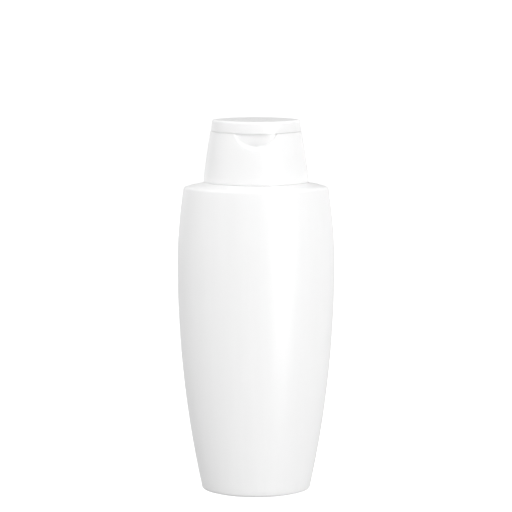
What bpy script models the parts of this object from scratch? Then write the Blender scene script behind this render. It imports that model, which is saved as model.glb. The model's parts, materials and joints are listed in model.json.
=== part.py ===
"""Oval shampoo bottle with a snap-fit flip-top closure.

The bottle is a blow-moulded shell that narrows to a round neck. An oval closure snaps over a bead on that
neck, and its lid swings back on two film webs beside a spring strap, to open the pouring orifice.

Frame: +Z up, the broad front faces -Y, and the origin is the centre of the footprint on the table.
"""

import math
from collections import namedtuple

import bmesh
import bpy
from mathutils import Matrix, Vector

MM = 0.001

# Driving sizes
OVERALL_HEIGHT = 175 * MM
REST_GAP = 0.3 * MM  # left between pieces that touch
RING_POINTS = 48
OVAL = 1.35  # fullness of the oval sections: 1 is an ellipse, and more draws the sides to a soft edge
ROUND = 1.0

# Bottle: half sizes of the widest section and the arcs that its sides follow away from it
WIDEST_Z = 106 * MM
WIDEST_HALF_WIDTH = 36.45 * MM
WIDEST_HALF_DEPTH = 21.2 * MM
LOWER_WIDTH_ARC = 500 * MM
UPPER_WIDTH_ARC = 240 * MM
LOWER_DEPTH_ARC = 1303 * MM
UPPER_DEPTH_ARC = 540 * MM
WALL = 1.0 * MM
BASE_FILLET = 2.0 * MM
BASE_LEAN = 12.0  # degrees from upright where the side meets the base fillet
STANDING_RING = 1.8 * MM
PUSH_UP = 1.8 * MM

# Shoulder: a small fillet and then a wide arc up to the closure
SHOULDER_EDGE_Z = 142.6 * MM
SHOULDER_FILLET = 1.9 * MM
SHOULDER_ARC = 48.7 * MM
SHOULDER_START, SHOULDER_BREAK, SHOULDER_END = 8.8, 73.0, 83.0  # degrees above the horizon
SHOULDER_THICKNESS = 1.2 * MM

# Neck finish
NECK_RADIUS = 9.0 * MM
NECK_BORE = 7.3 * MM
NECK_TOP_Z = 163.6 * MM
NECK_BEAD_RADIUS = 9.6 * MM
NECK_BEAD_Z = 160.0 * MM
NECK_BEAD_HALF_HEIGHT = 0.7 * MM
NECK_ROOT = 1.4 * MM
LUG_REACH = 10.7 * MM
LUG_HALF_WIDTH = 1.2 * MM
LUG_TOP_Z = 152.4 * MM

# Closure: half sizes at its foot and at its rim
RIM_Z = 169.3 * MM
FOOT_HALF_WIDTH, FOOT_HALF_DEPTH = 24.4 * MM, 15.0 * MM
RIM_HALF_WIDTH, RIM_HALF_DEPTH = 21.15 * MM, 13.1 * MM
CLOSURE_BULGE = 0.3 * MM
CLOSURE_WALL = 1.3 * MM
THICK_WALL_Z = 160.6 * MM  # above this the front and back walls carry the thumb recess and the hinge
THICK_WALL_HALF_DEPTH = 11.25 * MM
DECK_Z = 167.0 * MM
DECK_THICKNESS = 1.5 * MM
UPSTAND_INSET = 1.5 * MM
UPSTAND_THICKNESS = 1.0 * MM
UPSTAND_HEIGHT = 1.4 * MM
SPOUT_FOOT_RADIUS, SPOUT_TOP_RADIUS = 6.0 * MM, 4.7 * MM
SPOUT_TOP_Z = 170.6 * MM
ORIFICE_RADIUS = 3.2 * MM

# Thumb recess in the closure's front
RECESS_RADIUS = 13.2 * MM
RECESS_DROP = 6.9 * MM
RECESS_FLOOR_RADIUS = 60.6 * MM
RECESS_FLOOR_Y = -11.6 * MM
RECESS_FLOOR_TILT = 7.2  # degrees from upright
RECESS_CUT = 6 * MM  # depth of the cutter, whose edge flares out at 45 degrees

# Lid
LID_GAP = 0.35 * MM
LID_FOOT_HALF_WIDTH, LID_FOOT_HALF_DEPTH = 20.95 * MM, 13.0 * MM
LID_TOP_HALF_WIDTH, LID_TOP_HALF_DEPTH = 20.4 * MM, 12.7 * MM
LID_EDGE = 1.0 * MM
LID_WALL = 1.2 * MM
LID_TOP_THICKNESS = 1.3 * MM
PLUG_RADIUS, PLUG_BORE = 2.95 * MM, 1.9 * MM
PLUG_TIP_Z = 168.6 * MM
SPILL_RING_INNER, SPILL_RING_OUTER = 5.3 * MM, 6.1 * MM
SPILL_RING_Z = 171.2 * MM

# Hinge at the closure's back
LAND_Y = 13.3 * MM
LAND_HALF_WIDTH = 8.0 * MM
LAND_DOWN, LAND_UP = 5.4 * MM, 4.0 * MM
HINGE_AXIS = Vector((0, LAND_Y + 0.55 * MM, RIM_Z + LID_GAP / 2))
WINDOW_HALF_WIDTH = 4.2 * MM
WINDOW_DEPTH = 0.8 * MM
WINDOW_DOWN, WINDOW_UP = 4.6 * MM, 3.2 * MM
STRAP_THICKNESS = 0.5 * MM
WEB_THICKNESS = 0.36 * MM
WEB_FOLD = 0.55 * MM  # radius of its fold
WEB_WIDTH = 2.8 * MM
WEB_X = 6.2 * MM

# Snap collar and gasket inside the closure
COLLAR_BORE, COLLAR_RADIUS = 9.8 * MM, 10.8 * MM
COLLAR_FOOT_Z = 149.4 * MM
COLLAR_BEAD_BORE = 9.25 * MM
COLLAR_BEAD_Z = 157.9 * MM
NOTCH_HALF_WIDTH = 1.6 * MM
GASKET_BORE, GASKET_RADIUS = 7.5 * MM, 9.55 * MM

# Colours, as linear RGB
WHITE_HDPE = (0.86, 0.87, 0.87)
WHITE_PP = (0.88, 0.88, 0.88)
FOAM_WHITE = (0.80, 0.80, 0.78)

DECK_UNDERSIDE_Z = DECK_Z - DECK_THICKNESS
LID_FOOT_Z = RIM_Z + LID_GAP

Section = namedtuple("Section", "half_width half_depth z fullness", defaults=(OVAL,))


def arc_steps(start, end, steps):
    """Angles in radians from start to end degrees, both included."""
    return [math.radians(start + (end - start) * n / steps) for n in range(steps + 1)]


def fall(distance, radius):
    """How far an arc has come in, at a distance along its tangent from where it touches."""
    return radius - math.sqrt(radius**2 - distance**2)


# Building blocks ------------------------------------------------------------------------------------


def clear_scene():
    for thing in list(bpy.data.objects):
        bpy.data.objects.remove(thing)


def collection_named(name):
    found = bpy.data.collections.new(name)
    bpy.context.scene.collection.children.link(found)
    return found


def material(name, colour, roughness):
    made = bpy.data.materials.new(name)
    made.use_nodes = True
    shader = made.node_tree.nodes["Principled BSDF"]
    shader.inputs["Base Color"].default_value = (*colour, 1)
    shader.inputs["Roughness"].default_value = roughness
    return made


def add_object(name, mesh, finish, collection):
    obj = bpy.data.objects.new(name, mesh)
    if finish:
        mesh.materials.append(finish)
    collection.objects.link(obj)
    return obj


def ring_of(section):
    """Points of a horizontal section, from the middle of the front round by +X."""
    ring = []
    for step in range(RING_POINTS):
        angle = 2 * math.pi * step / RING_POINTS
        reach = math.copysign(abs(math.cos(angle)) ** section.fullness, math.cos(angle))
        ring.append((section.half_width * math.sin(angle), -section.half_depth * reach, section.z))
    return ring


def loft(name, sections, finish, collection, through=False):
    """A closed skin over sections that run up the outside and then down the inside.

    Its two ends are capped or, with through, joined to each other round a hole.
    """
    skin = bmesh.new()
    rings = [[skin.verts.new(point) for point in ring_of(section)] for section in sections]
    pairs = list(zip(rings, rings[1:]))
    if through:
        pairs.append((rings[-1], rings[0]))
    else:
        skin.faces.new(reversed(rings[0]))
        skin.faces.new(rings[-1])
    for lower, upper in pairs:
        for i in range(RING_POINTS):
            j = (i + 1) % RING_POINTS
            skin.faces.new((lower[i], lower[j], upper[j], upper[i]))
    mesh = bpy.data.meshes.new(name)
    skin.to_mesh(mesh)
    skin.free()
    mesh.shade_smooth()
    mesh.set_sharp_from_angle(angle=math.radians(35))
    return add_object(name, mesh, finish, collection)


def turned(name, profile, finish, collection):
    """A solid of revolution about Z, from a closed outline of (radius, z) that runs down its outer side."""
    mesh = bpy.data.meshes.new(name)
    points = [(radius, 0, z) for radius, z in profile]
    mesh.from_pydata(points, [(i, (i + 1) % len(points)) for i in range(len(points))], [])
    obj = add_object(name, mesh, finish, collection)
    screw = obj.modifiers.new("Turn", "SCREW")
    screw.steps = screw.render_steps = RING_POINTS
    screw.use_merge_vertices = True
    screw.merge_threshold = 0.00001
    return obj


def block(name, low, high, collection, bevel=0.0):
    """A box between two corners, with its edges bevelled if asked."""
    shape = bmesh.new()
    size = Vector(high) - Vector(low)
    place = Matrix.Translation((Vector(low) + Vector(high)) / 2) @ Matrix.Diagonal((*size, 1))
    bmesh.ops.create_cube(shape, size=1, matrix=place)
    mesh = bpy.data.meshes.new(name)
    shape.to_mesh(mesh)
    shape.free()
    obj = add_object(name, mesh, None, collection)
    if bevel:
        round_off = obj.modifiers.new("Edges", "BEVEL")
        round_off.width = bevel
        round_off.segments = 2
    return obj


def drum(name, near_radius, far_radius, depth, place, segments, collection):
    """A cylinder or cone frustum along its own Z, centred on place, with its near end at -Z."""
    shape = bmesh.new()
    bmesh.ops.create_cone(
        shape, cap_ends=True, segments=segments, radius1=near_radius, radius2=far_radius, depth=depth, matrix=place
    )
    mesh = bpy.data.meshes.new(name)
    shape.to_mesh(mesh)
    shape.free()
    return add_object(name, mesh, None, collection)


def combine(obj, other, operation):
    """Joins or cuts obj with another solid, which stays in the scene as a hidden helper."""
    change = obj.modifiers.new(other.name, "BOOLEAN")
    change.operation = operation
    change.object = other
    other.hide_render = True
    other.display_type = "WIRE"


# Bottle ---------------------------------------------------------------------------------------------


def side_section(z, inset=0.0):
    """The bottle's oval section at a height between its base fillet and its shoulder."""
    away = abs(z - WIDEST_Z)
    width_arc = LOWER_WIDTH_ARC if z < WIDEST_Z else UPPER_WIDTH_ARC
    depth_arc = LOWER_DEPTH_ARC if z < WIDEST_Z else UPPER_DEPTH_ARC
    half_width = WIDEST_HALF_WIDTH - fall(away, width_arc)
    half_depth = WIDEST_HALF_DEPTH - fall(away, depth_arc)
    return Section(half_width - inset, half_depth - inset, z)


def base_sections(fillet, inset, lift):
    """The base fillet up to the side, for the outer skin or, with an inset and a lift, for the inner one."""
    lean = math.radians(BASE_LEAN)
    top = side_section(BASE_FILLET * (1 - math.sin(lean)), inset)
    sections = []
    for angle in arc_steps(-90, -BASE_LEAN, 5):
        out = fillet * (math.cos(angle) - math.cos(lean))
        up = lift + fillet * (1 + math.sin(angle))
        sections.append(Section(top.half_width + out, top.half_depth + out, up))
    return sections


def shoulder_sections():
    """The shoulder from the side's top edge up to the foot of the closure."""
    edge = side_section(SHOULDER_EDGE_Z)
    foot_ratio = (edge.half_depth - FOOT_HALF_DEPTH) / (edge.half_width - FOOT_HALF_WIDTH)
    start = Vector((edge.half_width, SHOULDER_EDGE_Z))
    points = []
    for radius, first, last, steps in (
        (SHOULDER_FILLET, SHOULDER_START, SHOULDER_BREAK, 4),
        (SHOULDER_ARC, SHOULDER_BREAK, SHOULDER_END, 3),
    ):
        angles = arc_steps(first, last, steps)
        centre = start - radius * Vector((math.cos(angles[0]), math.sin(angles[0])))
        points += [centre + radius * Vector((math.cos(a), math.sin(a))) for a in angles[1:]]
        start = points[-1]
    return [
        Section(x, edge.half_depth - (edge.half_width - x) * foot_ratio, z) for x, z in (tuple(p) for p in points)
    ]


def circle(radius, z):
    return Section(radius, radius, z, ROUND)


def bottle_sections():
    """The bottle's whole skin: under the base, up the outside and the neck, and down the inside."""
    foot = base_sections(BASE_FILLET, 0, 0)
    land = foot[0]
    inner = base_sections(BASE_FILLET - WALL, WALL, 1.2 * MM)
    inner_land = inner[0]
    lower, upper = foot[-1].z, SHOULDER_EDGE_Z
    heights = [lower + (upper - lower) * n / 14 for n in range(1, 15)]
    shoulder = shoulder_sections()
    root_z = shoulder[-1].z
    step = STANDING_RING + 1.2 * MM
    outside = [
        Section(land.half_width * 0.45, land.half_depth * 0.45, PUSH_UP),
        Section(land.half_width - step, land.half_depth - step, PUSH_UP - 0.5 * MM),
        Section(land.half_width - STANDING_RING, land.half_depth - STANDING_RING, 0),
        *foot,
        *[side_section(z) for z in heights],
        *shoulder,
        circle(NECK_RADIUS + NECK_ROOT, root_z),
        circle(NECK_RADIUS + 0.4 * MM, root_z + 0.4 * MM),
        circle(NECK_RADIUS, root_z + NECK_ROOT),
        circle(NECK_RADIUS, NECK_BEAD_Z - NECK_BEAD_HALF_HEIGHT),
        circle(NECK_BEAD_RADIUS, NECK_BEAD_Z - NECK_BEAD_HALF_HEIGHT / 2),
        circle(NECK_BEAD_RADIUS, NECK_BEAD_Z + NECK_BEAD_HALF_HEIGHT / 3),
        circle(NECK_RADIUS, NECK_BEAD_Z + 2 * NECK_BEAD_HALF_HEIGHT),
        circle(NECK_RADIUS, NECK_TOP_Z - 0.4 * MM),
        circle(NECK_RADIUS - 0.4 * MM, NECK_TOP_Z),
    ]
    ceiling_z = root_z - SHOULDER_THICKNESS
    inside = [
        circle(NECK_BORE, NECK_TOP_Z),
        circle(NECK_BORE, root_z),
        circle(NECK_BORE + 1.0 * MM, ceiling_z),
        Section(shoulder[-1].half_width - WALL, shoulder[-1].half_depth - WALL, ceiling_z),
        Section(shoulder[3].half_width - WALL, shoulder[3].half_depth - WALL, shoulder[3].z - SHOULDER_THICKNESS),
        *[side_section(z, WALL) for z in reversed(heights)],
        *reversed(inner),
        Section(inner_land.half_width - STANDING_RING, inner_land.half_depth - STANDING_RING, inner_land.z),
        Section(land.half_width - step - WALL, land.half_depth - step - WALL, PUSH_UP + 0.7 * MM),
        Section(land.half_width * 0.45, land.half_depth * 0.45, PUSH_UP + 1.2 * MM),
    ]
    return outside + inside


def make_bottle(finish, parts, helpers):
    shell = loft("bottle_shell", bottle_sections(), finish, parts)
    root_z = shoulder_sections()[-1].z
    for side, label in ((1, "right"), (-1, "left")):
        lug = block(
            f"lug_{label}",
            (min(side * LUG_REACH, side * (NECK_RADIUS - 0.5 * MM)), -LUG_HALF_WIDTH, root_z - 0.6 * MM),
            (max(side * LUG_REACH, side * (NECK_RADIUS - 0.5 * MM)), LUG_HALF_WIDTH, LUG_TOP_Z),
            helpers,
        )
        combine(shell, lug, "UNION")
    return shell


# Closure --------------------------------------------------------------------------------------------


def closure_section(z, inset=0.0):
    """The closure's outer oval at a height between its foot and its rim, which bows out a little."""
    foot_z = shoulder_sections()[-1].z + REST_GAP
    share = (z - foot_z) / (RIM_Z - foot_z)
    bow = 4 * CLOSURE_BULGE * share * (1 - share)
    half_width = FOOT_HALF_WIDTH + (RIM_HALF_WIDTH - FOOT_HALF_WIDTH) * share + bow
    half_depth = FOOT_HALF_DEPTH + (RIM_HALF_DEPTH - FOOT_HALF_DEPTH) * share + bow
    return Section(half_width - inset, half_depth - inset, z)


def closure_sections():
    """The closure's skin, round its orifice: up the outside, over the deck and the spout, and down inside."""
    foot_z = shoulder_sections()[-1].z + REST_GAP
    heights = [foot_z + 0.4 * MM + (RIM_Z - foot_z - 0.8 * MM) * n / 7 for n in range(8)]
    upstand_z = RIM_Z + UPSTAND_HEIGHT
    deck_edge = UPSTAND_INSET + UPSTAND_THICKNESS
    rim = closure_section(RIM_Z)

    def on_rim(inset, z):
        return Section(rim.half_width - inset, rim.half_depth - inset, z)

    under_deck = closure_section(DECK_UNDERSIDE_Z, CLOSURE_WALL)
    step = closure_section(THICK_WALL_Z, CLOSURE_WALL)
    return [
        closure_section(foot_z, 0.4 * MM),
        *[closure_section(z) for z in heights],
        on_rim(0.3 * MM, RIM_Z),
        on_rim(UPSTAND_INSET, RIM_Z),
        on_rim(UPSTAND_INSET, upstand_z - 0.3 * MM),
        on_rim(UPSTAND_INSET + 0.3 * MM, upstand_z),
        on_rim(deck_edge, upstand_z),
        on_rim(deck_edge, DECK_Z),
        circle(SPOUT_FOOT_RADIUS, DECK_Z),
        circle(SPOUT_TOP_RADIUS, SPOUT_TOP_Z - 0.3 * MM),
        circle(SPOUT_TOP_RADIUS - 0.3 * MM, SPOUT_TOP_Z),
        circle(ORIFICE_RADIUS + 0.3 * MM, SPOUT_TOP_Z),
        circle(ORIFICE_RADIUS, SPOUT_TOP_Z - 0.3 * MM),
        circle(ORIFICE_RADIUS, DECK_UNDERSIDE_Z),
        Section(under_deck.half_width, THICK_WALL_HALF_DEPTH, DECK_UNDERSIDE_Z),
        Section(step.half_width, THICK_WALL_HALF_DEPTH, THICK_WALL_Z),
        closure_section(THICK_WALL_Z - 1.5 * MM, CLOSURE_WALL),
        closure_section(foot_z + 6 * MM, CLOSURE_WALL),
        closure_section(foot_z, CLOSURE_WALL),
    ]


def thumb_scoop(helpers):
    """The cutter for the thumb recess: a flared disc whose inner face is bowed like the wall, but flatter."""
    middle = Vector((0, -closure_section(RIM_Z - RECESS_DROP).half_depth, RIM_Z - RECESS_DROP + RECESS_RADIUS))
    lay_over = Matrix.Rotation(math.radians(-90), 4, "X")
    disc = drum(
        "thumb_scoop",
        RECESS_RADIUS + RECESS_CUT / 2,
        RECESS_RADIUS - RECESS_CUT / 2,
        RECESS_CUT,
        Matrix.Translation(middle) @ lay_over,
        72,
        helpers,
    )
    core_foot = Matrix.Translation((0, RECESS_FLOOR_Y + RECESS_FLOOR_RADIUS, RIM_Z))
    tilt = Matrix.Rotation(math.radians(RECESS_FLOOR_TILT), 4, "X")
    core = drum(
        "recess_floor", RECESS_FLOOR_RADIUS, RECESS_FLOOR_RADIUS, 2 * RECESS_FLOOR_RADIUS, core_foot @ tilt, 180, helpers
    )
    combine(disc, core, "DIFFERENCE")
    return disc


def hinge_land(name, low_z, high_z, helpers):
    """A flat pad on the back wall that carries the hinge webs."""
    low = (-LAND_HALF_WIDTH, THICK_WALL_HALF_DEPTH + 0.6 * MM, low_z)
    return block(name, low, (LAND_HALF_WIDTH, LAND_Y, high_z), helpers)


def strap_window(name, low_z, high_z, helpers):
    """The cutter for the shallow pocket in the hinge land that the spring strap lies in."""
    low = (-WINDOW_HALF_WIDTH, LAND_Y - WINDOW_DEPTH, low_z)
    return block(name, low, (WINDOW_HALF_WIDTH, LAND_Y + 2 * MM, high_z), helpers)


def make_closure(finish, parts, helpers):
    base = loft("closure_base", closure_sections(), finish, parts, through=True)
    combine(base, hinge_land("closure_land", RIM_Z - LAND_DOWN, RIM_Z, helpers), "UNION")
    combine(base, strap_window("closure_window", RIM_Z - WINDOW_DOWN, RIM_Z + MM, helpers), "DIFFERENCE")
    combine(base, thumb_scoop(helpers), "DIFFERENCE")
    return base


def make_collar(finish, parts, helpers):
    """The sleeve under the deck that flexes over the neck bead, with notches for the neck's lugs."""
    top_z = DECK_UNDERSIDE_Z - REST_GAP
    outline = [
        (COLLAR_BORE, top_z),
        (COLLAR_RADIUS, top_z),
        (COLLAR_RADIUS, COLLAR_FOOT_Z),
        (COLLAR_BORE + 0.3 * MM, COLLAR_FOOT_Z),
        (COLLAR_BORE, COLLAR_FOOT_Z + 0.6 * MM),
        (COLLAR_BORE, COLLAR_BEAD_Z - 1.0 * MM),
        (COLLAR_BEAD_BORE, COLLAR_BEAD_Z - 0.3 * MM),
        (COLLAR_BEAD_BORE, COLLAR_BEAD_Z + 0.3 * MM),
        (COLLAR_BORE, COLLAR_BEAD_Z + 0.7 * MM),
    ]
    collar = turned("snap_collar", outline, finish, parts)
    notch = block(
        "lug_notches",
        (-2 * COLLAR_RADIUS, -NOTCH_HALF_WIDTH, COLLAR_FOOT_Z - MM),
        (2 * COLLAR_RADIUS, NOTCH_HALF_WIDTH, LUG_TOP_Z + 0.5 * MM),
        helpers,
    )
    combine(collar, notch, "DIFFERENCE")
    return collar


def make_gasket(finish, parts):
    top_z = DECK_UNDERSIDE_Z - REST_GAP
    foot_z = NECK_TOP_Z + REST_GAP
    outline = [(GASKET_BORE, top_z), (GASKET_RADIUS, top_z), (GASKET_RADIUS, foot_z), (GASKET_BORE, foot_z)]
    return turned("sealing_gasket", outline, finish, parts)


# Lid and hinge --------------------------------------------------------------------------------------


def lid_sections():
    """The lid's skin: from under its rim up the outside, over the top, and the inside down to the plug."""
    edge_z = OVERALL_HEIGHT - LID_EDGE
    ceiling_z = OVERALL_HEIGHT - LID_TOP_THICKNESS
    inner_foot = Section(LID_FOOT_HALF_WIDTH - LID_WALL, LID_FOOT_HALF_DEPTH - LID_WALL, LID_FOOT_Z)
    inner_top = Section(LID_TOP_HALF_WIDTH - LID_WALL, LID_TOP_HALF_DEPTH - LID_WALL, ceiling_z - 0.5 * MM)
    inside = [
        circle(PLUG_BORE * 0.6, ceiling_z - 0.6 * MM),
        circle(PLUG_BORE, ceiling_z - 0.9 * MM),
        circle(PLUG_BORE, PLUG_TIP_Z),
        circle(PLUG_RADIUS - 0.4 * MM, PLUG_TIP_Z),
        circle(PLUG_RADIUS, PLUG_TIP_Z + 0.6 * MM),
        circle(PLUG_RADIUS, ceiling_z),
        circle(SPILL_RING_INNER, ceiling_z),
        circle(SPILL_RING_INNER, SPILL_RING_Z),
        circle(SPILL_RING_OUTER, SPILL_RING_Z),
        circle(SPILL_RING_OUTER, ceiling_z),
        Section(inner_top.half_width - 0.5 * MM, inner_top.half_depth - 0.5 * MM, ceiling_z),
        inner_top,
        inner_foot,
    ]
    outside = [
        Section(LID_FOOT_HALF_WIDTH - 0.2 * MM, LID_FOOT_HALF_DEPTH - 0.2 * MM, LID_FOOT_Z),
        Section(LID_FOOT_HALF_WIDTH, LID_FOOT_HALF_DEPTH, LID_FOOT_Z + 0.2 * MM),
    ]
    for angle in arc_steps(0, 90, 4):
        inset = LID_EDGE * (1 - math.cos(angle))
        rise = LID_EDGE * math.sin(angle)
        outside.append(Section(LID_TOP_HALF_WIDTH - inset, LID_TOP_HALF_DEPTH - inset, edge_z + rise))
    return inside + outside


def make_lid(finish, parts, helpers):
    lid = loft("flip_lid", lid_sections(), finish, parts)
    combine(lid, hinge_land("lid_land", LID_FOOT_Z, LID_FOOT_Z + LAND_UP, helpers), "UNION")
    combine(lid, strap_window("lid_window", LID_FOOT_Z - MM, LID_FOOT_Z + WINDOW_UP, helpers), "DIFFERENCE")
    return lid


def extruded(name, outline, width, middle_x, finish, collection):
    """A bar along X from an outline of (y, z), as a flat curve that is filled and extruded."""
    curve = bpy.data.curves.new(name, "CURVE")
    curve.dimensions = "2D"
    curve.fill_mode = "BOTH"
    curve.extrude = width / 2
    spline = curve.splines.new("POLY")
    spline.points.add(len(outline) - 1)
    for point, (y, z) in zip(spline.points, outline):
        point.co = (y, z, 0, 1)
    spline.use_cyclic_u = True
    curve.materials.append(finish)
    bar = bpy.data.objects.new(name, curve)
    # The curve's own X, Y and Z lie along the object frame's Y, Z and X.
    bar.rotation_euler = (math.radians(90), 0, math.radians(90))
    bar.location = (middle_x, 0, 0)
    collection.objects.link(bar)
    return bar


def web_outline():
    """The folded film web: a C round the hinge axis, open towards the hinge land."""
    foot_y = LAND_Y + REST_GAP
    outer = WEB_FOLD + WEB_THICKNESS / 2
    inner = WEB_FOLD - WEB_THICKNESS / 2
    arc = arc_steps(-90, 90, 8)
    outside = [(HINGE_AXIS.y + outer * math.cos(a), HINGE_AXIS.z + outer * math.sin(a)) for a in arc]
    inside = [(HINGE_AXIS.y + inner * math.cos(a), HINGE_AXIS.z + inner * math.sin(a)) for a in reversed(arc)]
    return [
        (foot_y, HINGE_AXIS.z - outer),
        *outside,
        (foot_y, HINGE_AXIS.z + outer),
        (foot_y, HINGE_AXIS.z + inner),
        *inside,
        (foot_y, HINGE_AXIS.z - inner),
    ]


def strap_outline():
    """The spring strap: a bar that thins near both ends, where it flexes."""
    low = RIM_Z - WINDOW_DOWN + REST_GAP
    high = LID_FOOT_Z + WINDOW_UP - REST_GAP
    back = LAND_Y
    front = LAND_Y - STRAP_THICKNESS
    waist = front + 0.22 * MM
    return [
        (front, low),
        (back, low),
        (back, high),
        (front, high),
        (front, high - 0.5 * MM),
        (waist, high - 0.8 * MM),
        (waist, high - 1.2 * MM),
        (front, high - 1.5 * MM),
        (front, low + 1.5 * MM),
        (waist, low + 1.2 * MM),
        (waist, low + 0.8 * MM),
        (front, low + 0.5 * MM),
    ]


def make_hinge(finish, parts):
    for side, label in ((1, "right"), (-1, "left")):
        extruded(f"hinge_web_{label}", web_outline(), WEB_WIDTH, side * WEB_X, finish, parts)
    strap_width = 2 * (WINDOW_HALF_WIDTH - REST_GAP)
    extruded("hinge_spring_strap", strap_outline(), strap_width, 0, finish, parts)


def main():
    clear_scene()
    parts = collection_named("shampoo_bottle")
    helpers = collection_named("cutters")
    hdpe = material("white_hdpe", WHITE_HDPE, 0.45)
    polypropylene = material("white_pp", WHITE_PP, 0.32)
    foam = material("pe_foam", FOAM_WHITE, 0.9)
    make_bottle(hdpe, parts, helpers)
    make_closure(polypropylene, parts, helpers)
    make_collar(polypropylene, parts, helpers)
    make_gasket(foam, parts)
    make_lid(polypropylene, parts, helpers)
    make_hinge(polypropylene, parts)


main()
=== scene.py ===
"""Oval shampoo bottle with a snap-fit flip-top closure: the finished look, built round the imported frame.

The bottle is a blow-moulded HDPE shell. The closure, its lid and the hinge between them are moulded PP.
Nearly every piece is an oval loft: a Geometry Nodes tree sweeps a list of stations into a skin.

Frame: metres, +Z up, the broad front faces -Y, and the origin is the centre of the footprint.
"""

import json
import logging
import math
from dataclasses import dataclass, field
from enum import Enum
from typing import Any, Callable, Iterable, Sequence

import bmesh
import bpy
import numpy as np
from mathutils import Matrix, Vector


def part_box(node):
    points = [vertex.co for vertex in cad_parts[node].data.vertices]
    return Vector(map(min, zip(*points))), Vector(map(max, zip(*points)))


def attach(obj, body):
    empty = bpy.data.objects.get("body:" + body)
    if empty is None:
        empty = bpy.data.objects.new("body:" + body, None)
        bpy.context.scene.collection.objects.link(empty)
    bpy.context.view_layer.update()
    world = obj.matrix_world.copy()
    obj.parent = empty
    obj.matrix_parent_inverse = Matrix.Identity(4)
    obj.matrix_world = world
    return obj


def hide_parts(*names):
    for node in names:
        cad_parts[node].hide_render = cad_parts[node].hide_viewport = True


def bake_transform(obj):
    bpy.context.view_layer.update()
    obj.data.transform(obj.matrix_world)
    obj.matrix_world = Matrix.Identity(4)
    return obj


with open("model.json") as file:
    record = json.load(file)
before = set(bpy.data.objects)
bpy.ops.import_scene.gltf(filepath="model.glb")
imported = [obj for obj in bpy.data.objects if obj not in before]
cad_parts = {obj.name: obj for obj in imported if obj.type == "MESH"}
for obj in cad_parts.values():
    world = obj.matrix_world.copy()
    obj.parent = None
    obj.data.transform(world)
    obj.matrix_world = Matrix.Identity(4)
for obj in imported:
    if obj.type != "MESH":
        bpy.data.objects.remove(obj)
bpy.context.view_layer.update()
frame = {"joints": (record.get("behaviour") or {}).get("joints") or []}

MM = 0.001
LOG = logging.getLogger("shampoo_bottle")


class Outline(Enum):
    """Shape of a horizontal section, by how fast its depth falls off towards its sides."""

    ROUND = 1.0
    LENS = 1.35


# Small tools ----------------------------------------------------------------------------------------


def linear(hex_colour: str) -> tuple[float, float, float, float]:
    """Turns an sRGB hex colour into linear RGBA.

    Args:
        hex_colour: six hex digits with a leading #.

    Returns:
        The colour as Blender's sockets want it, with alpha 1.
    """
    channels = [int(hex_colour[i:i + 2], 16) / 255 for i in (1, 3, 5)]
    red, green, blue = (c / 12.92 if c <= 0.04045 else ((c + 0.055) / 1.055) ** 2.4 for c in channels)
    return red, green, blue, 1.0


def add_node(
    tree: bpy.types.NodeTree,
    kind: str,
    settings: dict[str, Any] | None = None,
    values: dict[str | int, Any] | None = None,
    links: dict[str | int, bpy.types.NodeSocket] | None = None,
) -> bpy.types.Node:
    """Adds one node to a tree.

    Args:
        tree: the shader or geometry tree.
        kind: the node's type name.
        settings: the node's own properties.
        values: constants for its input sockets, by name or place.
        links: output sockets of other nodes, by the input that they feed.

    Returns:
        The new node.
    """
    node = tree.nodes.new(kind)
    for name, value in (settings or {}).items():
        setattr(node, name, value)
    for socket, value in (values or {}).items():
        node.inputs[socket].default_value = value
    for socket, source in (links or {}).items():
        tree.links.new(source, node.inputs[socket])
    return node


def arc_angles(start: float, end: float, steps: int) -> list[float]:
    """Angles in radians from start to end degrees, both included."""
    return [math.radians(start + (end - start) * n / steps) for n in range(steps + 1)]


def fall(distance: float, radius: float) -> float:
    """How far an arc has come in, at a distance along its tangent from where it touches."""
    return radius - math.sqrt(radius**2 - distance**2)


def smooth_least(a: np.ndarray, b: np.ndarray, blend: float) -> np.ndarray:
    """The lesser of two fields, with the crease between them rounded.

    Args:
        a: the first field.
        b: the second field.
        blend: how far from the crease the rounding starts, in the fields' unit.

    Returns:
        The blended field.
    """
    share = np.clip(0.5 + 0.5 * (b - a) / blend, 0, 1)
    return b + (a - b) * share - blend * share * (1 - share)


def smooth_most(a: np.ndarray, b: np.ndarray, blend: float) -> np.ndarray:
    """The greater of two fields, with the crease between them rounded, as in smooth_least."""
    return -smooth_least(-a, -b, blend)


# Stations and lofts ---------------------------------------------------------------------------------


@dataclass(frozen=True)
class Station:
    """One horizontal section of a loft.

    skin says how far the section lies on the outer skin: 1 on it, and 0 where a surface recess can't reach.
    """

    half_width: float
    half_depth: float
    z: float
    fullness: float = Outline.LENS.value
    skin: float = 0.0

    def values(self) -> np.ndarray:
        """The station as five numbers, for blending."""
        return np.array([self.half_width, self.half_depth, self.z, self.fullness, self.skin])


def disc(radius: float, z: float) -> Station:
    """A round station."""
    return Station(radius, radius, z, Outline.ROUND.value)


def inset(station: Station, by: float, z: float | None = None, skin: float = 0.0) -> Station:
    """A station drawn in from another, by the same distance all round.

    Args:
        station: the outer station.
        by: how far in.
        z: its height, where it isn't the outer one's.
        skin: its share of the outer skin.

    Returns:
        The inner station.
    """
    height = station.z if z is None else z
    return Station(station.half_width - by, station.half_depth - by, height, station.fullness, skin)


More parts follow.
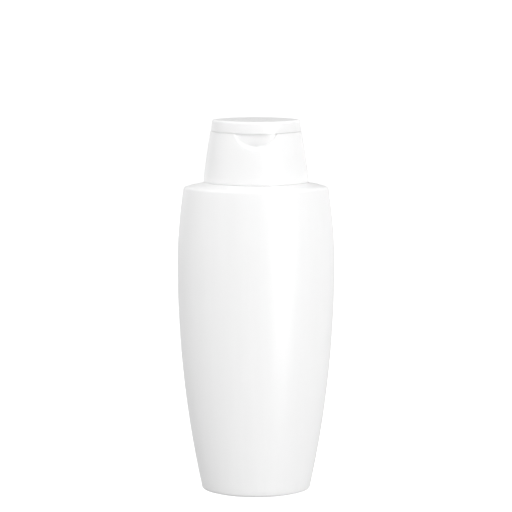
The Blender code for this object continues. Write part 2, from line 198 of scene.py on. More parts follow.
def softened(corners: Sequence[tuple[Station, float]], steps: int = 5) -> list[Station]:
    """Rounds the corners of a run of stations.

    Args:
        corners: each station and the length that its rounding takes from both sides, 0 for none.
        steps: stations across each rounding.

    Returns:
        The run with each rounded corner replaced by a short curve.
    """
    run: list[Station] = []
    for place, (station, reach) in enumerate(corners):
        if reach == 0 or place in (0, len(corners) - 1):
            run.append(station)
            continue
        here = station.values()
        ends = []
        for neighbour in (corners[place - 1][0], corners[place + 1][0]):
            way = neighbour.values() - here
            length = math.hypot(way[0], way[2])
            ends.append(here + way * min(reach / length, 0.49))
        for step in range(steps + 1):
            t = step / steps
            run.append(Station(*((1 - t) ** 2 * ends[0] + 2 * t * (1 - t) * here + t**2 * ends[1])))
    return run


def subdivided(first: Station, last: Station, pieces: int) -> list[Station]:
    """Stations on the straight way from one to another, with the first left out."""
    a, b = first.values(), last.values()
    return [Station(*(a + (b - a) * n / pieces)) for n in range(1, pieces + 1)]


class OvalLoft:
    """Sweeps stations into a closed skin: a Geometry Nodes tree whose rule is the lens-shaped section."""

    STATION_FIELDS = ("half_width", "half_depth", "fullness", "skin")
    SEAM_MERGE = 0.001 * MM

    def __init__(self) -> None:
        """Builds the tree once, for every piece."""
        self.tree = bpy.data.node_groups.new("Oval loft", "GeometryNodeTree")
        self.sockets: dict[str, str] = {}
        for name, kind in (
            ("Stations", "NodeSocketGeometry"),
            ("Points Around", "NodeSocketInt"),
            ("Seam Merge", "NodeSocketFloat"),
            ("Finish", "NodeSocketMaterial"),
        ):
            socket = self.tree.interface.new_socket(name, in_out="INPUT", socket_type=kind)
            self.sockets[name] = socket.identifier
        self.tree.interface.new_socket("Skin", in_out="OUTPUT", socket_type="NodeSocketGeometry")
        self._build()

    def _math(self, operation: str, *sources: bpy.types.NodeSocket | float) -> bpy.types.NodeSocket:
        """A Math node on sockets or numbers.

        Args:
            operation: the node's operation.
            sources: its inputs in order.

        Returns:
            The result's socket.
        """
        values = {i: s for i, s in enumerate(sources) if isinstance(s, float)}
        links = {i: s for i, s in enumerate(sources) if not isinstance(s, float)}
        return add_node(self.tree, "ShaderNodeMath", {"operation": operation}, values, links).outputs[0]

    def _build(self) -> None:
        """Lays a grid with a row for each station, and puts each of its points on its station's section."""
        tree = self.tree
        given = add_node(tree, "NodeGroupInput").outputs
        rows = add_node(
            tree, "GeometryNodeAttributeDomainSize", {"component": "MESH"}, links={0: given["Stations"]}
        ).outputs["Point Count"]
        columns = self._math("ADD", given["Points Around"], 1.0)
        grid = add_node(tree, "GeometryNodeMeshGrid", links={"Vertices X": columns, "Vertices Y": rows})
        index = add_node(tree, "GeometryNodeInputIndex").outputs[0]
        row = self._math("MODULO", index, rows)
        column = self._math("FLOOR", self._math("DIVIDE", index, rows))
        angle = self._math("MULTIPLY", self._math("DIVIDE", column, given["Points Around"]), 2 * math.pi)

        sampled = {}
        for name in self.STATION_FIELDS:
            kept = add_node(tree, "GeometryNodeInputNamedAttribute", {"data_type": "FLOAT"}, {"Name": name})
            sampled[name] = add_node(
                tree,
                "GeometryNodeSampleIndex",
                {"data_type": "FLOAT", "domain": "POINT"},
                links={"Geometry": given["Stations"], "Value": kept.outputs["Attribute"], "Index": row},
            ).outputs[0]
        place = add_node(tree, "GeometryNodeInputPosition").outputs[0]
        height = add_node(
            tree,
            "GeometryNodeSampleIndex",
            {"data_type": "FLOAT_VECTOR", "domain": "POINT"},
            links={"Geometry": given["Stations"], "Value": place, "Index": row},
        ).outputs[0]
        height_parts = add_node(tree, "ShaderNodeSeparateXYZ", links={0: height}).outputs

        cosine = self._math("COSINE", angle)
        reach = self._math("POWER", self._math("ABSOLUTE", cosine), sampled["fullness"])
        signed = self._math("MULTIPLY", reach, self._math("SIGN", cosine))
        x = self._math("MULTIPLY", sampled["half_width"], self._math("SINE", angle))
        y = self._math("MULTIPLY", self._math("MULTIPLY", sampled["half_depth"], signed), -1.0)
        point = add_node(tree, "ShaderNodeCombineXYZ", links={0: x, 1: y, 2: height_parts[2]}).outputs[0]

        tagged = add_node(
            tree,
            "GeometryNodeStoreNamedAttribute",
            {"data_type": "FLOAT", "domain": "POINT"},
            {"Name": "skin"},
            {"Geometry": grid.outputs["Mesh"], "Value": sampled["skin"]},
        ).outputs[0]
        placed = add_node(
            tree, "GeometryNodeSetPosition", links={"Geometry": tagged, "Position": point}
        ).outputs[0]
        merged = add_node(
            tree, "GeometryNodeMergeByDistance", links={"Geometry": placed, "Distance": given["Seam Merge"]}
        ).outputs[0]
        smooth = add_node(tree, "GeometryNodeSetShadeSmooth", links={"Geometry": merged}).outputs[0]
        real = add_node(tree, "GeometryNodeRealizeInstances", links={"Geometry": smooth}).outputs[0]
        dressed = add_node(
            tree, "GeometryNodeSetMaterial", links={"Geometry": real, "Material": given["Finish"]}
        ).outputs[0]
        add_node(tree, "NodeGroupOutput", links={0: dressed})

    def make(
        self, name: str, stations: Iterable[Station], finish: bpy.types.Material, points_around: int
    ) -> bpy.types.Object:
        """Lofts one piece.

        Args:
            name: the piece's name.
            stations: its sections, up the outside and down the inside.
            finish: its material.
            points_around: points in each section.

        Returns:
            The piece as a plain mesh, with its faces pointing out.
        """
        run = list(stations)
        line = bpy.data.meshes.new(f"{name}_stations")
        line.from_pydata([(0, 0, s.z) for s in run], [(i, i + 1) for i in range(len(run) - 1)], [])
        for field_name in self.STATION_FIELDS:
            kept = line.attributes.new(field_name, "FLOAT", "POINT")
            kept.data.foreach_set("value", [getattr(s, field_name) for s in run])
        guide = bpy.data.objects.new(f"{name}_stations", line)
        bpy.context.scene.collection.objects.link(guide)
        sweep = guide.modifiers.new("Loft", "NODES")
        sweep.node_group = self.tree
        sweep[self.sockets["Points Around"]] = points_around
        sweep[self.sockets["Seam Merge"]] = self.SEAM_MERGE
        sweep[self.sockets["Finish"]] = finish
        evaluated = guide.evaluated_get(bpy.context.evaluated_depsgraph_get())
        mesh = bpy.data.meshes.new_from_object(evaluated)
        bpy.data.objects.remove(guide)
        bpy.data.meshes.remove(line)
        facing_out(mesh)
        return add_piece(name, mesh, finish)


def facing_out(mesh: bpy.types.Mesh) -> None:
    """Turns a closed mesh's faces outwards if its volume comes out negative."""
    work = bmesh.new()
    work.from_mesh(mesh)
    if work.calc_volume(signed=True) < 0:
        bmesh.ops.reverse_faces(work, faces=work.faces)
    work.to_mesh(mesh)
    work.free()


def skin_and_points(mesh: bpy.types.Mesh) -> tuple[np.ndarray, np.ndarray]:
    """Reads a loft's points.

    Args:
        mesh: the loft's mesh, with its skin attribute.

    Returns:
        Each point's share of the outer skin, and the points' places, one to a row.
    """
    skin = np.zeros(len(mesh.vertices), np.float32)
    mesh.attributes["skin"].data.foreach_get("value", skin)
    points = np.zeros(len(mesh.vertices) * 3, np.float32)
    mesh.vertices.foreach_get("co", points)
    return skin, points.reshape(-1, 3)


def add_piece(name: str, mesh: bpy.types.Mesh, finish: bpy.types.Material) -> bpy.types.Object:
    """Puts a finished mesh in the scene as one piece.

    Args:
        name: the piece's name.
        mesh: its mesh, already in place.
        finish: its only material.

    Returns:
        The piece's object, at the origin.
    """
    mesh.name = name
    mesh.materials.clear()
    mesh.materials.append(finish)
    piece = bpy.data.objects.new(name, mesh)
    bpy.context.scene.collection.objects.link(piece)
    return piece


def rounded_block(low: Vector, high: Vector, radius: float, segments: int = 4) -> bpy.types.Mesh:
    """A box with rounded edges.

    Args:
        low: its lowest corner.
        high: its highest corner.
        radius: radius of the edges.
        segments: steps across each edge.

    Returns:
        The mesh, in place.
    """
    shape = bmesh.new()
    place = Matrix.Translation((low + high) / 2) @ Matrix.Diagonal((*(high - low), 1))
    bmesh.ops.create_cube(shape, size=1, matrix=place)
    bmesh.ops.bevel(
        shape,
        geom=shape.edges[:],
        offset=radius,
        segments=segments,
        profile=0.5,
        affect="EDGES",
        clamp_overlap=True,
    )
    mesh = bpy.data.meshes.new("block")
    shape.to_mesh(mesh)
    shape.free()
    return mesh


def combine(piece: bpy.types.Object, others: Sequence[bpy.types.Mesh], operation: str) -> None:
    """Joins solids to a piece or cuts them out of it, for good.

    Args:
        piece: the piece, which gets the new mesh.
        others: the closed solids.
        operation: UNION or DIFFERENCE.
    """
    finish = piece.data.materials[0]
    helpers = []
    for number, mesh in enumerate(others):
        helper = bpy.data.objects.new(f"helper_{number}", mesh)
        bpy.context.scene.collection.objects.link(helper)
        helpers.append(helper)
        change = piece.modifiers.new(f"Combine {number}", "BOOLEAN")
        change.operation = operation
        change.object = helper
    evaluated = piece.evaluated_get(bpy.context.evaluated_depsgraph_get())
    mesh = bpy.data.meshes.new_from_object(evaluated)
    piece.modifiers.clear()
    old, piece.data = piece.data, mesh
    bpy.data.meshes.remove(old)
    for helper in helpers:
        bpy.data.objects.remove(helper)
    mesh.materials.clear()
    mesh.materials.append(finish)


def finish_edges(piece: bpy.types.Object, angle: float = 40.0) -> None:
    """Shades a piece smooth except across edges sharper than an angle in degrees."""
    piece.data.shade_smooth()
    piece.data.set_sharp_from_angle(angle=math.radians(angle))


def hand_over(
    piece: bpy.types.Object,
    body: str,
    node: str,
    joined: Sequence[bpy.types.Mesh] = (),
    cut: Sequence[bpy.types.Mesh] = (),
) -> None:
    """Finishes a loft, hangs it on the body that it rides on and hides the frame's node that it stands for.

    Args:
        piece: the loft, with nothing more to be pressed into its skin.
        body: the body that it rides on.
        node: the frame's node that it stands for.
        joined: solids to join to it first.
        cut: solids to cut out of it next.
    """
    piece.data.attributes.remove(piece.data.attributes["skin"])
    for solids, operation in ((joined, "UNION"), (cut, "DIFFERENCE")):
        if solids:
            combine(piece, solids, operation)
    finish_edges(piece)
    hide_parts(node)
    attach(piece, body)
    LOG.info("%s rides on %s, %d faces", piece.name, body, len(piece.data.polygons))


# Finishes -------------------------------------------------------------------------------------------


def start_finish(
    name: str, ior: float, scatter: float = 0.0, depth: float = 0.0
) -> tuple[bpy.types.Material, bpy.types.Node, bpy.types.NodeSocket]:
    """Starts a plastic's material.

    Args:
        name: the material's name.
        ior: its index of refraction.
        scatter: share of the light that scatters inside it.
        depth: how far that light goes in.

    Returns:
        The material, its shader, and the Object coordinates that its patterns read.
    """
    made = bpy.data.materials.new(name)
    made.use_nodes = True
    shader = made.node_tree.nodes["Principled BSDF"]
    shader.inputs["IOR"].default_value = ior
    if scatter > 0:
        shader.inputs["Subsurface Weight"].default_value = scatter
        shader.inputs["Subsurface Radius"].default_value = (1.0, 1.0, 1.0)
        shader.inputs["Subsurface Scale"].default_value = depth
    return made, shader, add_node(made.node_tree, "ShaderNodeTexCoord").outputs["Object"]


@dataclass(frozen=True)
class BlowMouldedHdpe:
    """White pigmented high-density polyethylene, blown against a fine-blasted mould.

    Its skin is satin, not glossy: the blasted mould leaves a fine grain, and the parison leaves faint streaks
    that run up the bottle. Light goes about a millimetre into it. The real grain is about a tenth of a
    millimetre, and it is drawn some four times as coarse, so that it shows.
    """

    colour: str = "#F1F1F1"
    streak_colour: str = "#EEEEEE"
    roughness: float = 0.36
    roughness_swing: float = 0.03
    ior: float = 1.54
    scatter: float = 0.25
    depth: float = 1.1 * MM
    grain: float = 0.45 * MM
    grain_height: float = 0.02 * MM
    streak_width: float = 3.5 * MM
    streak_stretch: float = 0.06
    streak_height: float = 0.05 * MM

    def material(self) -> bpy.types.Material:
        """Builds the material."""
        made, shader, place = start_finish("blow_moulded_hdpe", self.ior, self.scatter, self.depth)
        tree = made.node_tree
        drawn = add_node(
            tree,
            "ShaderNodeMapping",
            values={"Scale": (1.0, 1.0, self.streak_stretch)},
            links={"Vector": place},
        ).outputs[0]
        streaks = add_node(
            tree,
            "ShaderNodeTexNoise",
            values={"Scale": 1 / self.streak_width, "Detail": 2.0, "Roughness": 0.5},
            links={"Vector": drawn},
        ).outputs[0]
        tint = add_node(
            tree,
            "ShaderNodeMix",
            {"data_type": "RGBA"},
            {6: linear(self.colour), 7: linear(self.streak_colour)},
            {0: streaks},
        ).outputs[2]
        tree.links.new(tint, shader.inputs["Base Color"])
        sheen = add_node(
            tree,
            "ShaderNodeMapRange",
            values={
                "To Min": self.roughness - self.roughness_swing,
                "To Max": self.roughness + self.roughness_swing,
            },
            links={"Value": streaks},
        ).outputs[0]
        tree.links.new(sheen, shader.inputs["Roughness"])
        grain = add_node(
            tree,
            "ShaderNodeTexNoise",
            values={"Scale": 1 / self.grain, "Detail": 3.0, "Roughness": 0.55},
            links={"Vector": place},
        ).outputs[0]
        fine = add_node(
            tree,
            "ShaderNodeBump",
            values={"Strength": 0.25, "Distance": self.grain_height},
            links={"Height": grain},
        ).outputs[0]
        waves = add_node(
            tree,
            "ShaderNodeBump",
            values={"Strength": 0.6, "Distance": self.streak_height},
            links={"Height": streaks, "Normal": fine},
        ).outputs[0]
        tree.links.new(waves, shader.inputs["Normal"])
        return made


@dataclass(frozen=True)
class MouldedPolypropylene:
    """White polypropylene, injection-moulded in a polished tool.

    It is glossier than the bottle and lets light further in, which softens its edges. Its skin has only the
    shallow waviness that shrinkage leaves, some millimetres across.
    """

    colour: str = "#F0F0F0"
    roughness: float = 0.3
    roughness_swing: float = 0.04
    ior: float = 1.49
    scatter: float = 0.5
    depth: float = 1.5 * MM
    wave_width: float = 4.0 * MM
    wave_height: float = 0.03 * MM

    def material(self) -> bpy.types.Material:
        """Builds the material."""
        made, shader, place = start_finish("moulded_polypropylene", self.ior, self.scatter, self.depth)
        tree = made.node_tree
        shader.inputs["Base Color"].default_value = linear(self.colour)
        waves = add_node(
            tree,
            "ShaderNodeTexNoise",
            values={"Scale": 1 / self.wave_width, "Detail": 2.0, "Roughness": 0.4},
            links={"Vector": place},
        ).outputs[0]
        gloss = add_node(
            tree,
            "ShaderNodeMapRange",
            values={
                "To Min": self.roughness - self.roughness_swing,
                "To Max": self.roughness + self.roughness_swing,
            },
            links={"Value": waves},
        ).outputs[0]
        tree.links.new(gloss, shader.inputs["Roughness"])
        bump = add_node(
            tree,
            "ShaderNodeBump",
            values={"Strength": 0.4, "Distance": self.wave_height},
            links={"Height": waves},
        ).outputs[0]
        tree.links.new(bump, shader.inputs["Normal"])
        return made


@dataclass(frozen=True)
class FoamLiner:
    """Closed-cell polyethylene foam, die-cut from sheet.

    It is matt and slightly grey, with open cells about a third of a millimetre across on its cut faces.
    """

    colour: str = "#E9E9E4"
    cell_colour: str = "#D9D9D2"
    roughness: float = 0.85
    ior: float = 1.5
    cell: float = 0.35 * MM
    cell_height: float = 0.06 * MM

    def material(self) -> bpy.types.Material:
        """Builds the material."""
        made, shader, place = start_finish("foam_liner", self.ior)
        tree = made.node_tree
        shader.inputs["Roughness"].default_value = self.roughness
        cells = add_node(
            tree, "ShaderNodeTexVoronoi", values={"Scale": 1 / self.cell}, links={"Vector": place}
        ).outputs["Distance"]
        tint = add_node(
            tree,
            "ShaderNodeMix",
            {"data_type": "RGBA"},
            {6: linear(self.cell_colour), 7: linear(self.colour)},
            {0: cells},
        ).outputs[2]
        tree.links.new(tint, shader.inputs["Base Color"])
        bump = add_node(
            tree,
            "ShaderNodeBump",
            values={"Strength": 0.8, "Distance": self.cell_height},
            links={"Height": cells},
        ).outputs[0]
        tree.links.new(bump, shader.inputs["Normal"])
        return made


@dataclass(frozen=True)
class Finishes:
    """The object's materials, each built once."""

    hdpe: bpy.types.Material = field(default_factory=lambda: BlowMouldedHdpe().material())
    polypropylene: bpy.types.Material = field(default_factory=lambda: MouldedPolypropylene().material())
    foam: bpy.types.Material = field(default_factory=lambda: FoamLiner().material())


# Bottle ---------------------------------------------------------------------------------------------


@dataclass
class Bottle:
    """The blow-moulded shell: push-up base, two-arc sides, rounded shoulder and a neck with a snap bead."""

    loft: OvalLoft
    finishes: Finishes
    points_around: int = 256
    widest_z: float = 106 * MM
    half_width: float = 36.45 * MM
    half_depth: float = 21.2 * MM
    lower_width_arc: float = 500 * MM
    upper_width_arc: float = 240 * MM
    lower_depth_arc: float = 1303 * MM
    upper_depth_arc: float = 540 * MM
    wall: float = 1.0 * MM
    thick_wall: float = 1.2 * MM
    base_fillet: float = 2.0 * MM
    base_lean: float = 12.0
    standing_ring: float = 1.8 * MM
    ring_slope: float = 1.4 * MM
    push_up: float = 1.8 * MM
    push_up_rim: float = 0.75
    shoulder_edge_z: float = 142.6 * MM
    shoulder_fillet: float = 1.9 * MM
    shoulder_arc: float = 48.7 * MM
    shoulder_angles: tuple[float, float, float] = (8.8, 73.0, 83.0)
    shoulder_ratio: float = 0.545
    neck_radius: float = 9.0 * MM
    neck_bore: float = 7.3 * MM
    bead_radius: float = 9.6 * MM
    bead_drop: float = 3.6 * MM
    bead_lead_in: float = 1.4 * MM
    lug_reach: tuple[float, float] = (8.4 * MM, 10.7 * MM)
    lug_half_width: float = 1.2 * MM
    lug_sink: float = 0.6 * MM
    lug_top: float = 152.4 * MM
    lug_edge: float = 0.3 * MM
    seam_height: float = 0.07 * MM
    pinch_off_height: float = 0.3 * MM

    def side(self, z: float, by: float = 0.0, skin: float = 1.0) -> Station:
        """The section at a height between the base fillet and the shoulder, drawn in by a distance."""
        away = abs(z - self.widest_z)
        below = z < self.widest_z
        width = self.half_width - fall(away, self.lower_width_arc if below else self.upper_width_arc)
        depth = self.half_depth - fall(away, self.lower_depth_arc if below else self.upper_depth_arc)
        return Station(width - by, depth - by, z, Outline.LENS.value, skin)

    def base(self, fillet: float, by: float, lift: float, steps: int) -> list[Station]:
        """The base fillet, from the standing ring up to the side.

        Args:
            fillet: its radius.
            by: how far the skin is drawn in from the outside.
            lift: height of its lowest point.
            steps: stations across it.

        Returns:
            The stations from the bottom up.
        """
        lean = math.radians(self.base_lean)
        top = self.side(self.base_fillet * (1 - math.sin(lean)), by)
        run = []
        for angle in arc_angles(-90, -self.base_lean, steps):
            out = fillet * (math.cos(angle) - math.cos(lean))
            up = lift + fillet * (1 + math.sin(angle))
            run.append(Station(top.half_width + out, top.half_depth + out, up, Outline.LENS.value, 1.0))
        return run

    def shoulder(self) -> list[Station]:
        """The shoulder's tight fillet and its wide arc, up to the foot of the closure."""
        edge = self.side(self.shoulder_edge_z)
        start = Vector((edge.half_width, self.shoulder_edge_z))
        first, middle, last = self.shoulder_angles
        points: list[Vector] = []
        for radius, begin, end, steps in (
            (self.shoulder_fillet, first, middle, 14),
            (self.shoulder_arc, middle, last, 10),
        ):
            angles = arc_angles(begin, end, steps)
            centre = start - radius * Vector((math.cos(angles[0]), math.sin(angles[0])))
            points += [centre + radius * Vector((math.cos(a), math.sin(a))) for a in angles[1:]]
            start = points[-1]
        run = []
        for point in points:
            depth = edge.half_depth - (edge.half_width - point.x) * self.shoulder_ratio
            run.append(Station(point.x, depth, point.y, edge.fullness, 1.0))
        return run

    def underside(self, land: Station) -> list[Station]:
        """The pushed-up base, from its middle out to the ring that the bottle stands on.

        Args:
            land: the ring's outer edge.

        Returns:
            The stations, with the ring's outer edge as the last.
        """
        dome = []
        for share in (0.0, 0.2, 0.4, 0.6, 0.75):
            rise = self.push_up * (1.0 - (1 - self.push_up_rim) * share**4)
            dome.append(Station(land.half_width * share, land.half_depth * share, rise))
        rim = inset(land, self.standing_ring + self.ring_slope, self.push_up * self.push_up_rim)
        ring = [(dome[-1], 0), (rim, 0.9 * MM), (inset(land, self.standing_ring, 0.0), 0.4 * MM), (land, 0)]
        return [*dome, *softened(ring)[1:]]

    def neck(self, root: Station, neck_top: float) -> list[tuple[Station, float]]:
        """The neck's corners, each with its rounding: up the outside, over the land and down the bore.

        Args:
            root: the last station of the shoulder.
            neck_top: height of the neck's land.

        Returns:
            The corners, as softened takes them.
        """
        bead_z = neck_top - self.bead_drop
        return [
            (root, 0),
            (disc(self.neck_radius + 0.2 * MM, root.z + 0.1 * MM), 0.7 * MM),
            (disc(self.neck_radius, root.z + 2.4 * MM), 0.6 * MM),
            (disc(self.neck_radius, bead_z - 0.7 * MM), 0.15 * MM),
            (disc(self.bead_radius, bead_z - 0.35 * MM), 0.2 * MM),
            (disc(self.bead_radius, bead_z + 0.23 * MM), 0.25 * MM),
            (disc(self.neck_radius, bead_z + self.bead_lead_in), 0.4 * MM),
            (disc(self.neck_radius, neck_top), 0.4 * MM),
            (disc(self.neck_bore, neck_top), 0.3 * MM),
            (disc(self.neck_bore, root.z), 1.0 * MM),
        ]

    def stations(self, neck_top: float) -> list[Station]:
        """The whole skin, from the middle of the base up the outside and down the inside.

        Args:
            neck_top: height of the neck's land.

        Returns:
            The stations.
        """
        foot = self.base(self.base_fillet, 0, 0, 10)
        land = foot[0]
        lower, upper = foot[-1].z, self.shoulder_edge_z
        sides = [self.side(lower + (upper - lower) * n / 60) for n in range(1, 61)]
        shoulder = self.shoulder()
        root = shoulder[-1]
        bend = shoulder[14]
        drop = self.thick_wall
        neck = softened(
            [
                *self.neck(root, neck_top),
                (disc(self.neck_bore + 1.0 * MM, root.z - drop), 0.5 * MM),
                (inset(root, self.wall, root.z - drop), 0.5 * MM),
                (inset(bend, self.wall, bend.z - drop), 1.0 * MM),
                (self.side(self.shoulder_edge_z, self.wall, 0.0), 0),
            ]
        )
        inner_foot = self.base(self.base_fillet - self.wall, self.wall, self.thick_wall, 6)
        insides = [self.side(s.z, self.wall, 0.0) for s in reversed(sides[2:-1:3])]
        inner_rim_z = self.push_up * self.push_up_rim + self.thick_wall
        return [
            *self.underside(land),
            *foot[1:],
            *sides,
            *shoulder,
            *neck[1:],
            *insides,
            *reversed(inner_foot),
            inset(inner_foot[0], self.standing_ring),
            inset(land, self.standing_ring + self.ring_slope + self.wall, inner_rim_z),
            Station(0.0, 0.0, self.push_up + self.thick_wall),
        ]

    def raise_seam(self, mesh: bpy.types.Mesh) -> None:
        """Raises the mould's parting line up both sides, and the parison's pinch-off line across the base."""
        skin, points = skin_and_points(mesh)
        outside = skin > 0.5
        in_plane = np.abs(points[:, 1]) < 0.02 * MM
        under = ~outside & (points[:, 2] > MM) & (points[:, 2] < self.push_up + 0.1 * MM)
        seam = in_plane & outside
        points[seam, 0] += np.sign(points[seam, 0]) * self.seam_height
        points[in_plane & under, 2] -= self.pinch_off_height
        mesh.vertices.foreach_set("co", points.ravel())

    def lug(self, side: int) -> bpy.types.Mesh:
        """The anti-turn lug on one side of the neck, -1 or 1."""
        near, far = sorted(side * reach for reach in self.lug_reach)
        low = Vector((near, -self.lug_half_width, self.shoulder()[-1].z - self.lug_sink))
        return rounded_block(low, Vector((far, self.lug_half_width, self.lug_top)), self.lug_edge)

    def build(self) -> None:
        """Lofts the shell, adds the anti-turn lugs to its neck and hands it to the frame."""
        run = self.stations(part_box("bottle_shell")[1].z)
        shell = self.loft.make("bottle_shell_skin", run, self.finishes.hdpe, self.points_around)
        self.raise_seam(shell.data)
        lugs = [self.lug(side) for side in (-1, 1)]
        hand_over(shell, "bottle", "bottle_shell", joined=lugs)


# Closure --------------------------------------------------------------------------------------------


@dataclass
class HingeLand:
    """The flat pad on the back of the closure and the lid, with the pocket that the spring strap lies in."""

    y: float
    half_width: float = 8.0 * MM
    pocket_half_width: float = 4.2 * MM
    pocket_depth: float = 0.8 * MM
    edge: float = 0.35 * MM
    pocket_edge: float = 0.2 * MM
    root: float = 1.6 * MM
    overshoot: float = 2.0 * MM

    def pad(self, low_z: float, high_z: float) -> bpy.types.Mesh:
        """The pad between two heights."""
        low = Vector((-self.half_width, self.y - self.root, low_z))
        return rounded_block(low, Vector((self.half_width, self.y, high_z)), self.edge)

    def pocket(self, low_z: float, high_z: float) -> bpy.types.Mesh:
        """The cutter for the pocket between two heights."""
        low = Vector((-self.pocket_half_width, self.y - self.pocket_depth, low_z))
        high = Vector((self.pocket_half_width, self.y + self.overshoot, high_z))
        return rounded_block(low, high, self.pocket_edge, 2)


@dataclass
class ThumbRecess:
    """The scoop under the lid's lip: a floor that is bowed like the wall but flatter, with a flared edge.

    radius and drop give the round lower edge, floor_radius, floor_y and floor_tilt (degrees) give the floor,
    least_depth keeps the floor below the wall round it, flare is the slope of the edge, and the blends round
    the creases where these meet.
    """

    rim_z: float
    radius: float = 13.6 * MM
    drop: float = 7.3 * MM
    floor_radius: float = 60.6 * MM
    floor_y: float = -12.08 * MM
    floor_tilt: float = 7.2
    least_depth: float = 0.9 * MM
    flare: float = 1.6
    floor_blend: float = 0.6 * MM
    edge_blend: float = 0.35 * MM
    margin: float = 1.5 * MM

    def press(self, mesh: bpy.types.Mesh, wall_y: float) -> None:
        """Presses the scoop into the outer skin.

        Args:
            mesh: the closure's mesh, with its skin attribute.
            wall_y: depth of the wall's front at the scoop's lowest point.
        """
        skin, points = skin_and_points(mesh)
        points = points.astype(float)
        x, y, z = points.T
        from_centre = np.hypot(x, z - (self.rim_z - self.drop + self.radius))
        floor = self.floor_y + x**2 / (2 * self.floor_radius)
        floor = floor - (z - self.rim_z) * math.tan(math.radians(self.floor_tilt))
        floor = smooth_most(floor, y + self.least_depth, self.floor_blend)
        flare = wall_y + self.flare * (self.radius - from_centre)
        scoop = smooth_least(floor, flare, self.floor_blend)
        pressed = smooth_most(y, scoop, self.edge_blend)
        reach = (y < 0) & (from_centre < self.radius + self.margin)
        points[:, 1] = np.where(reach, y + (pressed - y) * skin, y)
        mesh.vertices.foreach_set("co", points.astype(np.float32).ravel())


